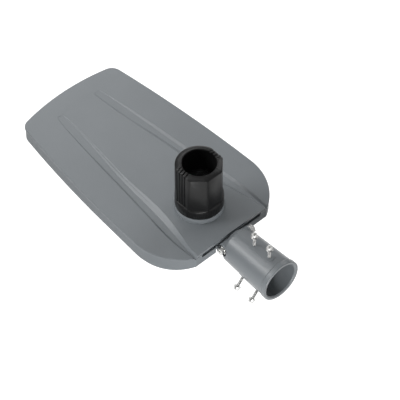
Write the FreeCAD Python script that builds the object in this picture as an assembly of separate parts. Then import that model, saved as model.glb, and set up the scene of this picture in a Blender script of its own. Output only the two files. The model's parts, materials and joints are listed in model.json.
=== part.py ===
import FreeCAD, Part
import math
import os

# A street light head on a tilting slip fitter, with a twist-lock light sensor on its back.
# Millimetres, +Z up. The origin is the middle of the fitter's mouth, and +Y runs along the
# pole into the head. The lamp shines down, and X is across the head.

V = FreeCAD.Vector
X_AXIS = V(1, 0, 0)
Y_AXIS = V(0, 1, 0)
Z_AXIS = V(0, 0, 1)

# Slip fitter: a cast tube that slides over the end of a 60 mm pole
POLE_BORE_R = 30.5
MOUTH_R = 32.5
LEAD_IN = 2.0
BORE_DEPTH = 74.0
COLLAR_R = 36.8
COLLAR_LENGTH = 8.0
COLLAR_BLEND = 1.6
TUBE_R_MOUTH = 35.5
TUBE_R_ROOT = 31.5
TUBE_LENGTH = 99.0
DOME_STEPS = ((29.4, 4.4), (24.6, 8.4), (12.5, 12.2))
NECK_BORE_R = 24.0
NECK_TAPER = 5.0
NECK_DEPTH = TUBE_LENGTH - 5.0
CABLE_HOLE_R = 6.5
CABLE_HOLE_Z = -9.0

# Clamp screws: two on top of the tube, and two below that lean to the left
CLAMP_Y = (28.0, 62.0)
LOWER_LEAN = 40.0
CLAMP_SCREW_R = 2.5
CLAMP_SCREW_LENGTH = 24.0
CLAMP_HEAD_R = 4.5
CLAMP_HEAD_H = 4.5
CLAMP_WASHER_R = 5.8
CLAMP_WASHER_T = 1.4
CLAMP_TIP = 0.6
PAD_HALF_WIDTH = 9.7
PAD_END = 1.0
PAD_RISE = 0.9

# Tilt pivot between the fitter and the head
PIVOT_Y = TUBE_LENGTH + 5.0
PIVOT_Z = 7.0
KNUCKLE_R = 10.5
KNUCKLE_HALF = 22.3
EAR_GAP = 0.3
EAR_THICKNESS = 5.3
EAR_R = 10.0
EAR_ROOM = 0.8
PIVOT_BOLT_R = 4.0
PIVOT_RUN = 0.08
PIVOT_HEAD_R = 6.5
PIVOT_HEAD_H = 5.2
PIVOT_WASHER_R = 7.6
PIVOT_WASHER_T = 1.6

# Head outline, seen from above
NEAR_Y = PIVOT_Y + 9.4
HEAD_LENGTH = 409.2
HALF_WIDTH = 126.7
NEAR_ARC_R = 100.0
NEAR_ARC_START = -60.0
NEAR_ARC_END = 1.75
FAR_HALF_WIDTH = 99.0
FAR_BOW = 12.6
FAR_CORNER_R = 20.0
NEAR_CORNER_R = 3.0

# Top cover
COVER_Z = 15.8
COVER_T = 3.2
COVER_EASE = 1.1
COVER_RIB_H = 2.6
COVER_RIB_FIT = 1.5
HOLLOW_FIT = 3.5
PANEL_EXTRA_T = 0.4
PANEL_INSET = 0.6
PANEL_CROWN = 1.2
PANEL_ROOT = 1.0
PANEL_LIFT = 2.2
PANEL_PAD_Z = 20.4
SEAM = 1.0

# Grooves beside the raised middle panel: distance from the near edge, foot half-width,
# riser width, riser height, outer half-width and outer step
GROOVE_STATIONS = (
    (-4.0, 75.6, 4.0, 5.4, 80.0, 2.2),
    (32.0, 73.0, 5.0, 5.6, 81.0, 2.4),
    (63.0, 67.6, 7.2, 5.9, 80.8, 2.6),
    (105.0, 61.8, 9.0, 5.8, 76.8, 2.8),
    (189.0, 55.5, 6.8, 4.6, 68.0, 2.8),
    (HEAD_LENGTH - 136.2, 44.8, 4.5, 3.0, 59.5, 2.1),
    (HEAD_LENGTH - 63.2, 36.5, 2.3, 1.3, 50.4, 0.9),
    (HEAD_LENGTH - 38.2, 34.5, 1.4, 0.7, 45.0, 0.35),
)
STEP_SLOPE = 1.55

# Housing below the cover
SIDE_DEPTH = 21.8
WALL = 3.0
FLOOR_T = 3.0
RIM_INSET = 1.0
POCKET_HALF = HALF_WIDTH - 63.7
POCKET_Y = NEAR_Y + 12.6
LIP_Z = 6.6
LIP_T = 3.0
NECK_GAP_HALF = 33.0

# Skirt that the side wall forms below the floor: distance from the near edge, height below it
SKIRT_LINE = (
    (2.0, 0.0), (12.0, 3.4), (34.0, 6.8), (88.0, 4.8), (190.0, 3.6), (HEAD_LENGTH + 10.8, 2.7),
)
SKIRT_ROOM = 10.0
WALL_SKIRT_T = 3.4

# Gear compartment that bulges below the near half
BELLY_HALF = HALF_WIDTH - 30.7
BELLY_NEAR = NEAR_Y + 20.6
BELLY_FAR = BELLY_NEAR + 166.0
BELLY_Z = -34.0
BELLY_DRAFT = 8.0
BELLY_CORNER_R = 16.0
DOOR_HALF = BELLY_HALF - 18.0
DOOR_MARGIN = 8.0
DOOR_T = 2.5
DOOR_LIP = 7.0
GASKET_T = 1.2
GASKET_INSET = 0.9
GASKET_EASE = 0.6

# Lamp module under the far half
LAMP_HALF = HALF_WIDTH - 42.7
LAMP_NEAR = BELLY_FAR + 10.0
LAMP_FAR = NEAR_Y + HEAD_LENGTH - 24.6
LAMP_FRAME_W = 10.0
LAMP_SCREW_IN = 24.0
LAMP_DEPTH = 16.0
LAMP_CORNER_R = 14.0
GLASS_T = 3.0
GLASS_FIT = 0.4
BOARD_T = 2.0
CHIP = 4.0
CHIP_T = 0.8
LENS_R = 10.0
LENS_TOP_R = 5.5
LENS_RISE = 5.0
LENS_SIDES = 8
LENS_PLATE_T = 2.0
LENS_COLUMNS = 5
LENS_ROWS = 6

# Light sensor on its socket
SENSOR_Y = NEAR_Y + 76.0
SOCKET_R = 33.0
SOCKET_BODY_R = 25.5
SOCKET_TOP = 28.6
SOCKET_BOTTOM = -8.0
PAD_RING_R = 41.0
PAD_RING_TOP = 29.1
PAD_EASE = 0.8
SOCKET_FIT = 0.4
SOCKET_BODY_FIT = 0.5
SENSOR_BASE_Z = 29.5
SKIRT_R = 39.5
SKIRT_TOP = 44.0
FLAT_BOTTOM = 50.0
FLAT_REACH = 36.5
FLAT_COUNT = 8
BODY_R = 38.8
RIM_EDGE_Z = 119.0
RIM_ROUND = 1.0
BODY_TOP = 122.7
WELL_R = 27.5
WELL_FLOOR = 74.0
SHELL_WALL = 2.6
RIB_SLOTS = 4
RIB_SLOT_W = 2.4
RIB_SLOT_DEPTH = 1.5
RIB_PITCH = 6.0
RIB_SHIFT = 3.0
RIB_BOTTOM = 48.0
BLADE_R = 15.0
BLADE_T = 1.5
BLADE_ARC = 26.0
BLADE_DEPTH = 15.0
TWIST = 35.0
BLADE_FIT = 0.4
POST_R = 2.5
POST_H = 12.0
CELL_H = 10.0
RELAY_H = 11.0

# Fasteners
M4_R = 2.0
M4_HEAD_R = 3.9
M4_HEAD_H = 2.6
M4_ACROSS = 6.6
M4_FIT = 0.3
BOSS_R = 5.5
COVER_BOSS_R = BOSS_R - 0.5
FRAME_BOSS_R = BOSS_R - 1.0
FRAME_BOSS_H = 7.0
BOSS_GAP = 0.2
SCREW_SUNK = 0.4
BOSS_CLEAR = 2.0
BOSS_SPREAD = (38.6, 136.6, HEAD_LENGTH - 152.6, HEAD_LENGTH - 36.6)
BOSS_SEAT_Z = 7.0
COVER_SCREW_BITE = 0.9
SOCKET_SCREW_LENGTH = 13.0

# Cable gland in the pocket's back wall, and the breather in the floor
GLAND_R = 5.0
GLAND_Z = 3.6
GLAND_NUT_R = 6.4
VENT_R = 4.0
VENT_HEAD_R = 7.5
VENT_HEAD_H = 4.0
VENT_Y = NEAR_Y + 101.6
VENT_INSET = 17.5

# Tilt bracket behind the lip
BRACKET_FIT = 0.2
BRACKET_HALF = POCKET_HALF - 3.0
BRACKET_TOP = 5.0
BRACKET_CORE_TOP = 10.6
BRACKET_SCREW_X = (BRACKET_HALF - 21.0, BRACKET_HALF - 8.0)

# Gear on its tray
TRAY_HALF = BELLY_HALF - 16.0
TRAY_T = 1.5
TRAY_CORNER_R = 10.0
TRAY_MARGIN = 3.0
DRIVER_X = (2.0 - TRAY_HALF, 54.0 - TRAY_HALF)
DRIVER_Y = (BELLY_NEAR + 18.0, BELLY_FAR - 16.0)
DRIVER_H = 26.0
SURGE_X = (TRAY_HALF - 50.0, TRAY_HALF - 4.0)
SURGE_Y = (BELLY_NEAR + 80.0, BELLY_FAR - 30.0)
SURGE_H = 22.0
TERMINAL_X = (TRAY_HALF - 50.0, TRAY_HALF - 4.0)
TERMINAL_Y = (BELLY_NEAR + 22.0, BELLY_NEAR + 48.0)
TERMINAL_H = 15.0
TERMINAL_WAYS = 5

COVER_BOTTOM = COVER_Z - COVER_T
RIM_TOP = COVER_BOTTOM - SEAM
FLOOR_Z = RIM_TOP - SIDE_DEPTH + SEAM + COVER_T
FLOOR_TOP = FLOOR_Z + FLOOR_T
FAR_Y = NEAR_Y + HEAD_LENGTH
BRACKET_NEAR = NEAR_Y + RIM_INSET + LIP_T + BRACKET_FIT


def box(x0, x1, y0, y1, z0, z1):
    """A block between two corners."""
    return Part.makeBox(x1 - x0, y1 - y0, z1 - z0, V(x0, y0, z0))


def rod(radius, length, start, direction=Z_AXIS):
    """A round bar from a point along a direction."""
    return Part.makeCylinder(radius, length, start, direction)


def ring(outer, inner, height, start, direction=Z_AXIS):
    """A round washer or tube."""
    return rod(outer, height, start, direction).cut(rod(inner, height, start, direction))


def fused(shapes):
    """Every shape joined into one solid."""
    shapes = list(shapes)
    return shapes[0].multiFuse(shapes[1:]).removeSplitter()


def prism(face, z0, z1):
    """A flat face at z = 0 pushed up into a slab."""
    slab = face.copy()
    slab.translate(V(0, 0, z0))
    return slab.extrude(V(0, 0, z1 - z0))


def rounded_wire(half, near, far, radius, z):
    """A rounded rectangle across the head at height z."""
    slab = box(-half, half, near, far, z, z + 1)
    corners = [e for e in slab.Edges if abs(e.tangentAt(e.FirstParameter).z) > 0.9]
    slab = slab.makeFillet(radius, corners)
    lowest = min(slab.Faces, key=lambda f: f.CenterOfMass.z)
    return lowest.OuterWire


def rounded_slab(half, near, far, radius, z0, z1):
    """A rounded rectangle pushed up from z0 to z1."""
    return Part.Face(rounded_wire(half, near, far, radius, z0)).extrude(V(0, 0, z1 - z0))


def turned(points, centre, axis):
    """Radius and height pairs spun about an axis; a height runs along the axis."""
    side = X_AXIS if axis != X_AXIS else Y_AXIS
    corners = [centre + side * r + axis * h for r, h in points]
    face = Part.Face(Part.makePolygon(corners + [corners[0]]))
    return face.revolve(centre, axis, 360)


def circles_meet(first, first_r, second, second_r):
    """The meeting point of two circles that lies furthest along Y."""
    between = second - first
    apart = between.Length
    along = (first_r ** 2 - second_r ** 2 + apart ** 2) / (2 * apart)
    off = math.sqrt(first_r ** 2 - along ** 2)
    unit = between / apart
    base = first + unit * along
    side = V(-unit.y, unit.x, 0) * off
    return max((base + side, base - side), key=lambda p: p.y)


def outline_circles():
    """Centre and radius of the shoulder, the slim side and the bowed far edge, on the right."""
    start = math.radians(NEAR_ARC_START)
    end = math.radians(NEAR_ARC_END)
    shoulder_centre = V(HALF_WIDTH - NEAR_ARC_R, NEAR_Y - NEAR_ARC_R * math.sin(start), 0)
    inward = V(-math.cos(end), -math.sin(end), 0)
    widest = shoulder_centre - inward * NEAR_ARC_R
    chord = V(FAR_HALF_WIDTH, FAR_Y - FAR_BOW, 0) - widest
    side_r = chord.Length ** 2 / (2 * inward.dot(chord))
    side_centre = shoulder_centre + inward * (side_r - NEAR_ARC_R)
    far_r = (FAR_HALF_WIDTH ** 2 + FAR_BOW ** 2) / (2 * FAR_BOW)
    far_centre = V(0, FAR_Y - far_r, 0)
    return shoulder_centre, inward, side_centre, side_r, far_centre, far_r


def half_width_at(y, distance):
    """Half of the head's width at y, moved in by a distance."""
    shoulder_centre, inward, side_centre, side_r, far_centre, far_r = outline_circles()
    centre, radius = side_centre, side_r - distance
    if y < shoulder_centre.y - inward.y * NEAR_ARC_R:
        centre, radius = shoulder_centre, NEAR_ARC_R - distance
    return centre.x + math.sqrt(radius ** 2 - (y - centre.y) ** 2)


def inset_outline(distance):
    """The head's outline moved in: flat near edge, round shoulders, slim sides, bowed far edge."""
    shoulder_centre, inward, side_centre, side_r, far_centre, far_r = outline_circles()
    near_y = NEAR_Y + distance
    shoulder_r = NEAR_ARC_R - distance
    side_r = side_r - distance
    far_r = far_r - distance
    near_round = max(NEAR_CORNER_R - distance, 1)
    far_round = max(FAR_CORNER_R - distance, 4)
    rise = shoulder_centre.y - near_y - near_round
    reach = math.sqrt((shoulder_r - near_round) ** 2 - rise ** 2)
    near_centre = V(shoulder_centre.x + reach, near_y + near_round, 0)
    corner_centre = circles_meet(side_centre, side_r - far_round, far_centre, far_r - far_round)

    def on_circle(centre, radius, toward):
        return centre + (toward - centre) * (radius / (toward - centre).Length)

    def arc(centre, radius, a, b):
        return (a, on_circle(centre, radius, (a + b) * 0.5), b)

    def mirrored(p):
        return V(-p.x, p.y, 0)

    near_end = V(near_centre.x, near_y, 0)
    arc_start = on_circle(shoulder_centre, shoulder_r, near_centre)
    shoulder = shoulder_centre - inward * shoulder_r
    side_end = on_circle(side_centre, side_r, corner_centre)
    far_start = on_circle(far_centre, far_r, corner_centre)
    half = (
        arc(near_centre, near_round, near_end, arc_start),
        arc(shoulder_centre, shoulder_r, arc_start, shoulder),
        arc(side_centre, side_r, shoulder, side_end),
        arc(corner_centre, far_round, side_end, far_start),
    )
    edges = [Part.LineSegment(mirrored(near_end), near_end).toShape()]
    edges += [Part.Arc(*points).toShape() for points in half]
    edges.append(Part.Arc(far_start, V(0, FAR_Y - distance, 0), mirrored(far_start)).toShape())
    for points in reversed(half):
        edges.append(Part.Arc(*[mirrored(p) for p in reversed(points)]).toShape())
    return Part.Face(Part.Wire(edges))


def inset_prism(distance, z0, z1):
    """A slab with the head's outline moved in by a distance."""
    return prism(inset_outline(distance), z0, z1)


def boss_places():
    """Where the screws that hold the cover stand, just inside the wall."""
    places = []
    for along in BOSS_SPREAD:
        y = NEAR_Y + along
        x = half_width_at(y, RIM_INSET + WALL + BOSS_R + BOSS_CLEAR)
        places += [(x, y), (-x, y)]
    return places


def vent_place():
    """Where the breather sits in the floor, beside the gear compartment."""
    return half_width_at(VENT_Y, VENT_INSET), VENT_Y


def panel_section(y, foot, riser, rise, step, drop):
    """The raised middle panel cut across the head."""
    top = COVER_Z - step - drop + rise
    floor = COVER_Z - step - drop - PANEL_ROOT
    inner = foot - riser
    base = foot + riser * PANEL_ROOT / rise
    left = V(-base, y, floor)
    left_top = V(-inner, y, top)
    crown = V(0, y, top + PANEL_CROWN)
    right_top = V(inner, y, top)
    right = V(base, y, floor)
    edges = [
        Part.LineSegment(left, left_top).toShape(),
        Part.Arc(left_top, crown, right_top).toShape(),
        Part.LineSegment(right_top, right).toShape(),
        Part.LineSegment(right, left).toShape(),
    ]
    return Part.Wire(edges)


def panel_solid(drop):
    """The raised middle panel, or the hollow under it when dropped."""
    sections = []
    for near, foot, riser, rise, outer, step in GROOVE_STATIONS:
        sections.append(panel_section(NEAR_Y + near, foot, riser, rise, step, drop))
    return Part.makeLoft(sections, True, False)


def groove_solid(side):
    """The groove on one side of the middle panel, as the shape to cut away."""
    sections = []
    above = COVER_Z + 3
    for near, foot, riser, rise, outer, step in GROOVE_STATIONS:
        y = NEAR_Y + near
        floor = COVER_Z - step
        inner = foot - riser / 2
        lead = STEP_SLOPE * step
        corners = [
            V(side * inner, y, floor),
            V(side * (outer - lead), y, floor),
            V(side * outer, y, COVER_Z),
            V(side * (outer + 1), y, above),
            V(side * inner, y, above),
        ]
        sections.append(Part.makePolygon(corners + [corners[0]]))
    return Part.makeLoft(sections, True, False)


def top_cover():
    """Cast cover with an eased edge, two fading grooves and a raised middle panel."""
    plate = inset_prism(0, COVER_BOTTOM, COVER_Z)
    rim = [e for e in plate.Edges if e.BoundBox.ZMin > COVER_Z - 0.01]
    plate = plate.makeChamfer(COVER_EASE, rim)
    thick = inset_prism(WALL + RIM_INSET + COVER_RIB_FIT, COVER_BOTTOM - COVER_RIB_H, COVER_BOTTOM)
    cover = plate.fuse(thick)
    for side in (-1, 1):
        cover = cover.cut(groove_solid(side))
    inside = inset_prism(PANEL_INSET, COVER_BOTTOM, COVER_Z + 12)
    cover = cover.fuse(panel_solid(0).common(inside))
    hollow_region = inset_prism(WALL + RIM_INSET + HOLLOW_FIT, COVER_BOTTOM - 8, COVER_Z + 8)
    cover = cover.cut(panel_solid(COVER_T + PANEL_EXTRA_T).common(hollow_region))
    centre = V(0, SENSOR_Y, 0)
    pad = rod(PAD_RING_R, PAD_RING_TOP - COVER_BOTTOM, centre + V(0, 0, COVER_BOTTOM))
    pad = pad.makeChamfer(PAD_EASE, [e for e in pad.Edges if e.BoundBox.ZMin > PAD_RING_TOP - 0.01])
    cover = cover.fuse(pad)
    cover = cover.cut(rod(SOCKET_R + SOCKET_FIT, PAD_RING_TOP, centre + V(0, 0, PANEL_PAD_Z)))
    cover = cover.cut(rod(SOCKET_BODY_R + SOCKET_BODY_FIT, 40, centre + V(0, 0, -5)))
    boss_height = COVER_BOTTOM - BOSS_SEAT_Z
    bosses = [rod(COVER_BOSS_R, boss_height, V(x, y, BOSS_SEAT_Z)) for x, y in boss_places()]
    cover = fused([cover] + bosses)
    for x, y in boss_places():
        cover = cover.cut(rod(M4_R, boss_height + COVER_SCREW_BITE + 1, V(x, y, BOSS_SEAT_Z - 0.5)))
    for x, y in socket_screw_places():
        cover = cover.cut(rod(M4_R, PANEL_PAD_Z, V(x, y, 1)))
    pocket = pocket_block(POCKET_HALF + WALL + 1, POCKET_Y + WALL + 1, COVER_BOTTOM - 10, COVER_BOTTOM)
    mouth = pocket_block(POCKET_HALF, POCKET_Y, COVER_BOTTOM - 1, COVER_BOTTOM + PANEL_LIFT)
    return cover.cut(pocket).cut(mouth)


def socket_screw_places():
    """Two screws hold the socket's flange."""
    middle = (SOCKET_R + SOCKET_BODY_R) / 2
    return [(middle, SENSOR_Y), (-middle, SENSOR_Y)]


def pocket_block(half, far, z0, z1):
    """Room at the near end for the fitter."""
    return box(-half, half, NEAR_Y - 20, far, z0, z1)


def cover_gasket():
    """A ring of rubber in the seam, led around the pocket."""
    outer = inset_prism(RIM_INSET + GASKET_INSET, RIM_TOP, COVER_BOTTOM)
    outer = outer.cut(pocket_block(POCKET_HALF + GASKET_INSET, POCKET_Y + GASKET_INSET,
                                   RIM_TOP - 1, COVER_BOTTOM + 1))
    inner = inset_prism(RIM_INSET + WALL - GASKET_EASE, RIM_TOP - 1, COVER_BOTTOM + 1)
    inner = inner.cut(pocket_block(POCKET_HALF + WALL - GASKET_EASE, POCKET_Y + WALL - GASKET_EASE,
                                   RIM_TOP - 2, COVER_BOTTOM + 2))
    return outer.cut(inner)


def belly_solid(inset, z_low, z_high):
    """The tapered gear compartment, moved in by the wall."""
    low = rounded_wire(BELLY_HALF - BELLY_DRAFT - inset, BELLY_NEAR + BELLY_DRAFT + inset,
                       BELLY_FAR - BELLY_DRAFT - inset, BELLY_CORNER_R - inset, z_low)
    high = rounded_wire(BELLY_HALF - inset, BELLY_NEAR + inset,
                        BELLY_FAR - inset, BELLY_CORNER_R - inset, z_high)
    return Part.makeLoft([low, high], True, True)


def door_places():
    """Screws of the gear compartment's door."""
    near = BELLY_NEAR + BELLY_DRAFT + DOOR_MARGIN
    far = BELLY_FAR - BELLY_DRAFT - DOOR_MARGIN
    edge = DOOR_LIP / 2
    places = []
    for x in (-DOOR_HALF + edge + 4, DOOR_HALF - edge - 4):
        for y in (near + edge, far - edge):
            places.append((x, y))
    return places


def frame_places():
    """Screws of the lamp's frame."""
    edge = LAMP_FRAME_W / 2
    places = []
    for x in (-LAMP_HALF + edge, LAMP_HALF - edge):
        for y in (LAMP_NEAR + LAMP_SCREW_IN, (LAMP_NEAR + LAMP_FAR) / 2, LAMP_FAR - LAMP_SCREW_IN):
            places.append((x, y))
    return places


def below_skirt():
    """Everything under the lower edge of the side wall, as the shape to cut away."""
    points = [V(-HALF_WIDTH - 5, NEAR_Y + along, FLOOR_Z - drop) for along, drop in SKIRT_LINE]
    line = Part.BSplineCurve()
    line.interpolate(points)
    first, last = points[0], points[-1]
    near = V(first.x, NEAR_Y - 5, FLOOR_Z)
    deep = V(0, 0, -SKIRT_ROOM - 5)
    edges = [Part.LineSegment(near, first).toShape(), line.toShape()]
    edges.append(Part.LineSegment(last, last + deep).toShape())
    edges.append(Part.LineSegment(last + deep, near + deep).toShape())
    edges.append(Part.LineSegment(near + deep, near).toShape())
    return Part.Face(Part.Wire(edges)).extrude(V(2 * HALF_WIDTH + 10, 0, 0))


def housing():
    """Cast tray with a side wall, the pocket for the fitter and the gear compartment."""
    body = inset_prism(RIM_INSET, FLOOR_Z - SKIRT_ROOM, RIM_TOP).cut(below_skirt())
    body = body.cut(inset_prism(RIM_INSET + WALL_SKIRT_T, FLOOR_Z - SKIRT_ROOM - 1, FLOOR_Z))
    body = body.fuse(belly_solid(0, BELLY_Z, FLOOR_Z + 0.5))
    room = inset_prism(RIM_INSET + WALL, FLOOR_TOP, RIM_TOP + 5)
    room = room.cut(pocket_block(POCKET_HALF + WALL, POCKET_Y + WALL, FLOOR_TOP - 1, RIM_TOP + 6))
    body = body.cut(room)
    body = body.cut(belly_solid(WALL, BELLY_Z + FLOOR_T, FLOOR_TOP + 1))
    body = body.cut(pocket_block(POCKET_HALF, POCKET_Y, LIP_Z, RIM_TOP + 5))
    trough = box(-POCKET_HALF, POCKET_HALF, NEAR_Y + RIM_INSET + LIP_T, POCKET_Y,
                 FLOOR_TOP, RIM_TOP + 5)
    body = body.cut(trough)
    body = body.cut(pocket_block(NECK_GAP_HALF, POCKET_Y, FLOOR_Z - 5, RIM_TOP + 5))
    boss_height = BOSS_SEAT_Z - BOSS_GAP - FLOOR_Z
    bosses = [rod(BOSS_R, boss_height, V(x, y, FLOOR_Z)) for x, y in boss_places()]
    bosses += [rod(FRAME_BOSS_R, FRAME_BOSS_H, V(x, y, FLOOR_TOP - 0.5)) for x, y in frame_places()]
    body = fused([body] + bosses)
    for x, y in boss_places():
        body = body.cut(rod(M4_R + M4_FIT, boss_height + 2, V(x, y, FLOOR_Z - 1)))
        body = body.cut(rod(M4_HEAD_R + M4_FIT, M4_HEAD_H + SCREW_SUNK + 1, V(x, y, FLOOR_Z - 1)))
    for x, y in frame_places():
        body = body.cut(rod(M4_R, 8.5, V(x, y, FLOOR_Z - 0.5)))
    for x, y in door_places():
        body = body.cut(rod(M4_R, FLOOR_T + 2, V(x, y, BELLY_Z - 1)))
    for x, y in bracket_screw_places():
        body = body.cut(rod(M4_R + M4_FIT, FLOOR_T + 2, V(x, y, FLOOR_Z - 1)))
    door = rounded_slab(DOOR_HALF - DOOR_LIP, BELLY_NEAR + BELLY_DRAFT + DOOR_MARGIN + DOOR_LIP,
                        BELLY_FAR - BELLY_DRAFT - DOOR_MARGIN - DOOR_LIP, 8,
                        BELLY_Z - 1, BELLY_Z + FLOOR_T + 1)
    body = body.cut(door)
    body = body.cut(rod(GLAND_R, 12, V(0, POCKET_Y - 1, GLAND_Z), Y_AXIS))
    vent_x, vent_y = vent_place()
    return body.cut(rod(VENT_R, FLOOR_T + 2, V(vent_x, vent_y, FLOOR_Z - 1)))


def hex_prism(across, height, start, direction):
    """A six-sided bar such as a nut or a screw's head."""
    side = Y_AXIS if direction != Y_AXIS else Z_AXIS
    other = direction.cross(side)
    radius = across / math.sqrt(3)
    corners = []
    for step in range(6):
        angle = math.radians(60 * step)
        corners.append(start + side * (radius * math.cos(angle)) + other * (radius * math.sin(angle)))
    face = Part.Face(Part.makePolygon(corners + [corners[0]]))
    return face.extrude(direction * height)


def hex_screw(head_at, shank, direction):
    """A small hex-headed screw; direction points along the shank from the head's seat."""
    head = hex_prism(M4_ACROSS, M4_HEAD_H, head_at - direction * M4_HEAD_H, direction)
    return head.fuse(rod(M4_R, shank, head_at, direction)).removeSplitter()


def cap_screw(head_at, shank, direction, radius, head_r, head_h):
    """A screw with a hex socket in its round head; direction points along the shank."""
    screw = rod(radius, shank, head_at, direction)
    head = rod(head_r, head_h, head_at - direction * head_h, direction)
    socket = hex_prism(radius * 1.5, head_h * 0.6, head_at - direction * head_h, direction)
    return screw.fuse(head).removeSplitter().cut(socket)


def cover_screws():
    """Screws up through the tray into the cover."""
    seat = FLOOR_Z + M4_HEAD_H + SCREW_SUNK
    reach = COVER_BOTTOM + COVER_SCREW_BITE - seat
    return [hex_screw(V(x, y, seat), reach, Z_AXIS) for x, y in boss_places()]


def vent_plug():
    """Breather that lets the housing equalise, pushed up through the floor."""
    x, y = vent_place()
    stem = rod(VENT_R, FLOOR_T + 3, V(x, y, FLOOR_Z))
    head = rod(VENT_HEAD_R, VENT_HEAD_H, V(x, y, FLOOR_Z - VENT_HEAD_H))
    return fused([stem, head])


def cable_gland():
    """Gland for the supply cable, from the pocket into the gear compartment."""
    start = V(0, BRACKET_NEAR, GLAND_Z)
    stem = rod(GLAND_R, POCKET_Y + WALL + 9 - BRACKET_NEAR, start, Y_AXIS)
    nut = rod(GLAND_NUT_R, 5, V(0, POCKET_Y + WALL, GLAND_Z), Y_AXIS)
    way = rod(GLAND_R - 1.8, 40, V(0, BRACKET_NEAR - 1, GLAND_Z), Y_AXIS)
    return fused([stem, nut]).cut(way)


def bracket_screw_places():
    """Four screws up through the pocket's floor into the bracket."""
    middle = (BRACKET_NEAR + POCKET_Y) / 2
    return [(side * x, middle) for side in (-1, 1) for x in BRACKET_SCREW_X]


def tilt_bracket():
    """Bracket with the two ears that carry the pivot."""
    foot = box(-BRACKET_HALF, BRACKET_HALF, BRACKET_NEAR, POCKET_Y, FLOOR_TOP, BRACKET_TOP)
    core_half = KNUCKLE_HALF + EAR_GAP + EAR_THICKNESS
    core = box(-core_half, core_half, BRACKET_NEAR, POCKET_Y, FLOOR_Z, BRACKET_CORE_TOP)
    solids = [foot, core]
    for side in (-1, 1):
        inner = side * (KNUCKLE_HALF + EAR_GAP)
        outer = side * core_half
        x0 = min(inner, outer)
        ear = rod(EAR_R, EAR_THICKNESS, V(x0, PIVOT_Y, PIVOT_Z), X_AXIS)
        arm = box(x0, x0 + EAR_THICKNESS, PIVOT_Y, BRACKET_NEAR + 1, PIVOT_Z - EAR_R, BRACKET_CORE_TOP)
        solids += [ear, arm]
    bracket = fused(solids)
    bolt_way = rod(PIVOT_BOLT_R + PIVOT_RUN, 2 * core_half + 2, V(-core_half - 1, PIVOT_Y, PIVOT_Z), X_AXIS)
    bracket = bracket.cut(bolt_way)
    bracket = bracket.cut(rod(GLAND_R, 30, V(0, BRACKET_NEAR - 2, GLAND_Z), Y_AXIS))
    for x, y in bracket_screw_places():
        bracket = bracket.cut(rod(M4_R, 6, V(x, y, FLOOR_TOP - 1)))
    return bracket


def bracket_screws():
    """The four bracket screws, heads under the pocket's floor."""
    return [hex_screw(V(x, y, FLOOR_Z), FLOOR_T + 5, Z_AXIS) for x, y in bracket_screw_places()]


def tube_solid():
    """The fitter from its collar to the end of its domed root, before it is bored."""
    points = [
        (0, 0), (COLLAR_R - 0.8, 0), (COLLAR_R, 0.8), (COLLAR_R, COLLAR_LENGTH),
        (TUBE_R_MOUTH, COLLAR_LENGTH + COLLAR_BLEND), (TUBE_R_ROOT, TUBE_LENGTH),
    ]
    points += [(radius, TUBE_LENGTH + along) for radius, along in DOME_STEPS]
    points.append((0, TUBE_LENGTH + DOME_STEPS[-1][1]))
    return turned(points, V(0, 0, 0), Y_AXIS)


def clamp_direction(side):
    """Outward direction of the clamp screws: straight up above, leaning left below."""
    if side > 0:
        return Z_AXIS
    lean = math.radians(LOWER_LEAN)
    return V(-math.sin(lean), 0, -math.cos(lean))


def tube_radius(y):
    """Outer radius of the tapering tube at a distance from the mouth."""
    near = COLLAR_LENGTH + COLLAR_BLEND
    share = (y - near) / (TUBE_LENGTH - near)
    return TUBE_R_MOUTH + (TUBE_R_ROOT - TUBE_R_MOUTH) * share


def clamp_pad(side):
    """Long raised pad with round ends under a pair of clamp screws."""
    near = CLAMP_Y[0] + PAD_END
    far = CLAMP_Y[1] - PAD_END
    height = TUBE_R_MOUTH + PAD_RISE
    ends = [rod(PAD_HALF_WIDTH, height, V(0, y, 0), Z_AXIS) for y in (near, far)]
    pad = fused([box(-PAD_HALF_WIDTH, PAD_HALF_WIDTH, near, far, 0, height)] + ends)
    low = near - PAD_HALF_WIDTH - 1
    high = far + PAD_HALF_WIDTH + 1
    cone = turned([(0, low), (tube_radius(low) + PAD_RISE, low),
                   (tube_radius(high) + PAD_RISE, high), (0, high)], V(0, 0, 0), Y_AXIS)
    pad = pad.common(cone)
    if side < 0:
        pad.rotate(V(0, 0, 0), Y_AXIS, 180 + LOWER_LEAN)
    return pad


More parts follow.
